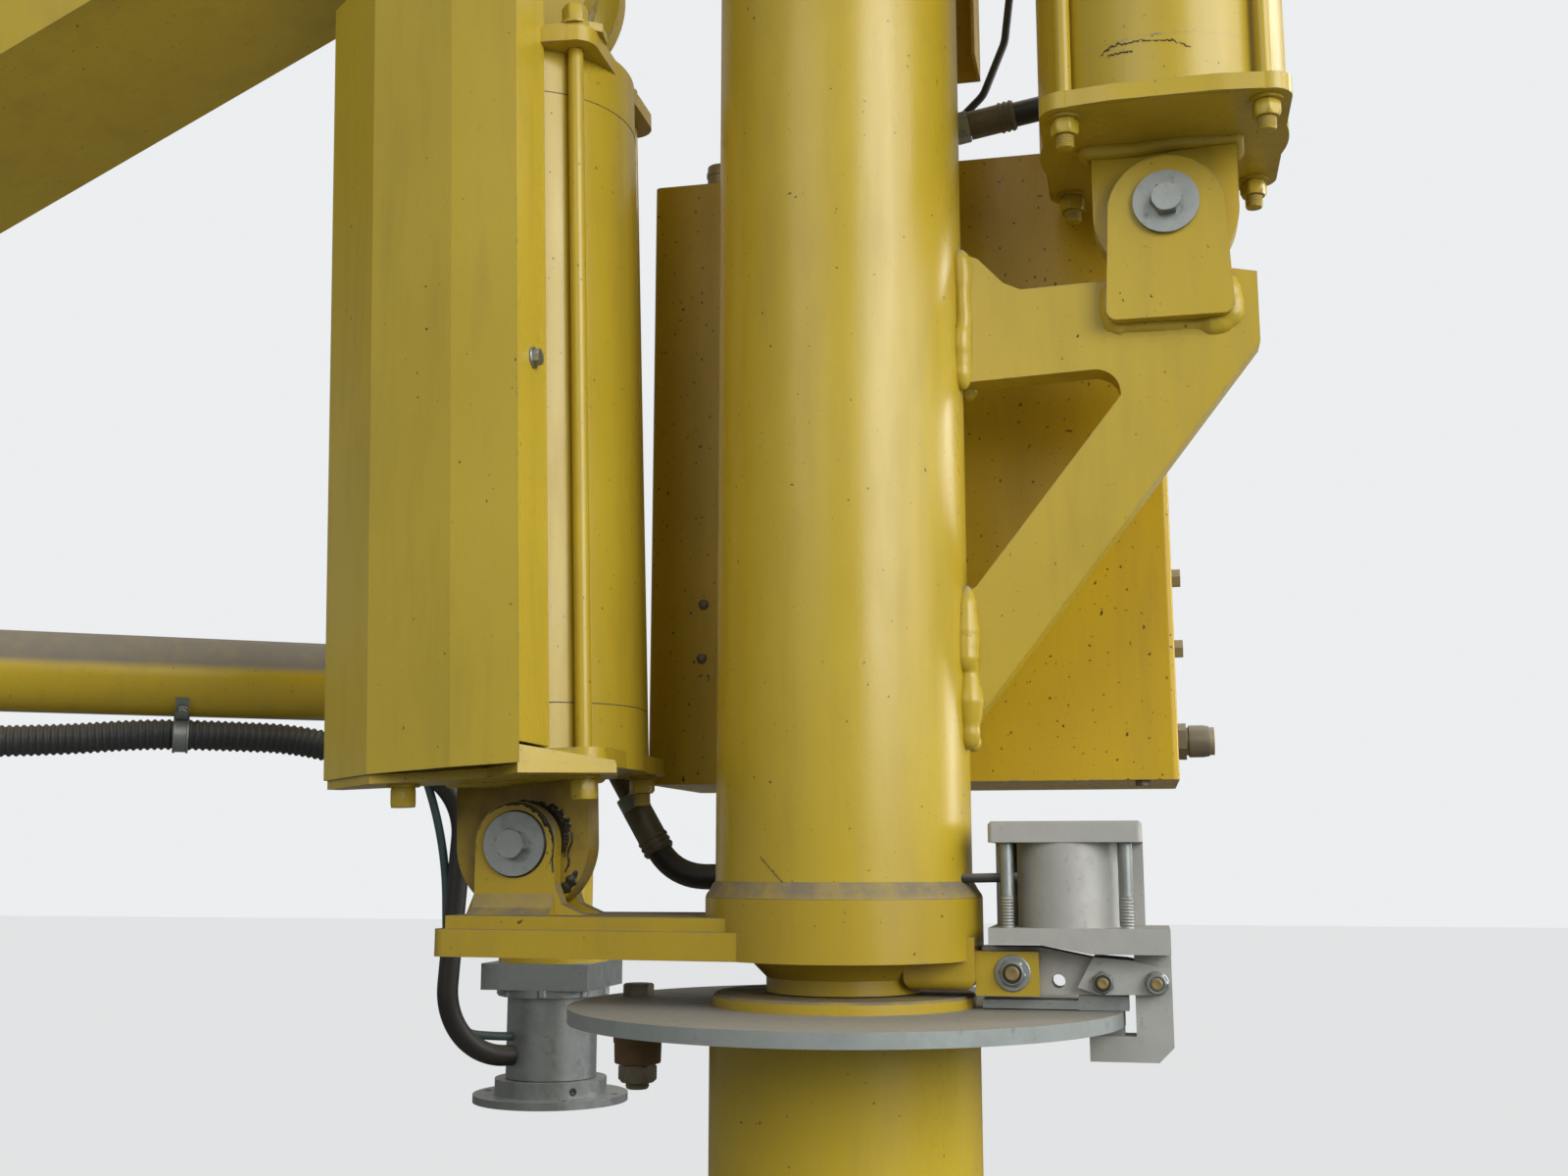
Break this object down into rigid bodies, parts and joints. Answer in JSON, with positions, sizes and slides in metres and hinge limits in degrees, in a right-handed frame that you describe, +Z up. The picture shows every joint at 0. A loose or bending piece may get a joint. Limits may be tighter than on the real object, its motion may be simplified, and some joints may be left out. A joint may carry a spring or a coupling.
{
  "type": "pneumatic manipulator arm",
  "caption": "Lifting arm on a slewing column: box beam with tie bar, tie-rod air cylinders in clevises, disc brake with lever, folding forearm and tool flange.",
  "frame": {"origin": "centre of the base flange underside, on the floor", "axes": "+Z up along the column; +X from the column axis to the rear cylinder, -X to the front cylinder and main arm; +Y to the control box"},
  "size_m": [2.1669, 1.141, 3.0816],
  "materials": {
    "yellow_paint": "satin",
    "zinc_steel": "dull zinc",
    "pale_aluminium": "satin",
    "rod_chrome": "polished",
    "bumper_rubber": "matt",
    "hose_rubber": "dull",
    "brass_fitting": "dull"
  },
  "bodies": {
    "column": {"base_plate": "yellow_paint", "base_gussets": "yellow_paint", "column_tube": "yellow_paint", "brake_disc": "zinc_steel", "slew_spindle": "yellow_paint", "stop_buffer": "bumper_rubber"},
    "mast": {"swivel_base": "yellow_paint", "left_foot_ears": "yellow_paint", "foot_pins": "zinc_steel", "mast_tube": "yellow_paint", "cylinder_bracket": "yellow_paint", "bracket_ears": "yellow_paint", "control_box": "yellow_paint", "box_brackets": "yellow_paint", "box_fittings": "brass_fitting", "mast_duct": "yellow_paint", "mast_head": "yellow_paint", "head_pins": "zinc_steel", "brake_frame": "pale_aluminium", "brake_cylinder": "pale_aluminium", "brake_lever": "pale_aluminium", "brake_links": "pale_aluminium", "brake_pins": "zinc_steel", "brake_pads": "zinc_steel", "right_fitting": "zinc_steel", "left_hose": "hose_rubber", "right_hose": "hose_rubber", "air_line": "hose_rubber"},
    "arm": {"arm_beam": "yellow_paint", "front_ears": "yellow_paint", "rear_ears": "yellow_paint", "arm_pins": "zinc_steel"},
    "tie_bar": {"tie_bar": "yellow_paint"},
    "elbow": {"elbow_cheeks": "yellow_paint", "elbow_bearing": "yellow_paint", "elbow_pins": "zinc_steel"},
    "left_barrel": {"left_cylinder_tube": "yellow_paint", "left_end_caps": "yellow_paint", "left_tie_rods": "yellow_paint", "left_foot_lug": "yellow_paint", "guard_shell": "yellow_paint", "guard_plates": "yellow_paint", "left_fitting": "zinc_steel"},
    "left_rod": {"left_piston_rod": "rod_chrome"},
    "right_barrel": {"right_cylinder_tube": "yellow_paint", "right_end_caps": "yellow_paint", "right_tie_rods": "yellow_paint", "right_foot_lug": "yellow_paint"},
    "right_rod": {"right_piston_rod": "rod_chrome"},
    "forearm": {"forearm_head": "yellow_paint", "forearm_tube": "yellow_paint", "tool_housing": "pale_aluminium", "forearm_conduit": "hose_rubber", "conduit_clamps": "zinc_steel", "tool_hose": "hose_rubber"},
    "tool": {"tool_flange": "pale_aluminium"}
  },
  "joints": [
    {"name": "mast_swivel", "type": "hinge", "parent": "column", "child": "mast", "pos_m": [0, 0, 1.4], "axis": [0, 0, 1], "range_deg": [-178, 150]},
    {"name": "arm_lift", "type": "hinge", "parent": "mast", "child": "arm", "pos_m": [0, 0, 2.78], "axis": [0, 1, 0], "range_deg": [0, 34]},
    {"name": "tie_bar_swing", "type": "hinge", "parent": "mast", "child": "tie_bar", "pos_m": [0, 0, 2.96], "axis": [0, 1, 0], "range_deg": [0, 34]},
    {"name": "elbow_level", "type": "hinge", "parent": "arm", "child": "elbow", "pos_m": [-1.48993, 0, 2.07571], "axis": [0, 1, 0], "range_deg": [-34, 0]},
    {"name": "left_cylinder_lean", "type": "hinge", "parent": "mast", "child": "left_barrel", "pos_m": [-0.287, 0, 1.516], "axis": [0, 1, 0], "range_deg": [-10.61, 0]},
    {"name": "left_rod_slide", "type": "slide", "parent": "left_barrel", "child": "left_rod", "axis": [-0.0337, 0, 0.9994], "range_m": [0, 0.26132]},
    {"name": "right_cylinder_lean", "type": "hinge", "parent": "mast", "child": "right_barrel", "pos_m": [0.29, 0, 2.0587], "axis": [0, 1, 0], "range_deg": [0, 6.39]},
    {"name": "right_rod_slide", "type": "slide", "parent": "right_barrel", "child": "right_rod", "axis": [0, 0, 1], "range_m": [-0.19331, 0]},
    {"name": "forearm_swing", "type": "hinge", "parent": "elbow", "child": "forearm", "pos_m": [-1.69993, 0, 1.8], "axis": [0, 0, 1], "range_deg": [-6, 250]},
    {"name": "tool_swivel", "type": "hinge", "parent": "forearm", "child": "tool", "pos_m": [-0.53178, 0.73847, 1.219], "axis": [0, 0, 1], "range_deg": [-170, 170]}
  ],
  "couplings": [
    {"joint": "tie_bar_swing", "follows": "arm_lift", "ratio": 1},
    {"joint": "elbow_level", "follows": "arm_lift", "ratio": -1},
    {"joint": "left_cylinder_lean", "follows": "arm_lift", "ratio": -0.31161},
    {"joint": "left_rod_slide", "follows": "arm_lift", "m_per_rad": 0.44021},
    {"joint": "right_cylinder_lean", "follows": "arm_lift", "ratio": 0.18756},
    {"joint": "right_rod_slide", "follows": "arm_lift", "m_per_rad": -0.3256}
  ]
}
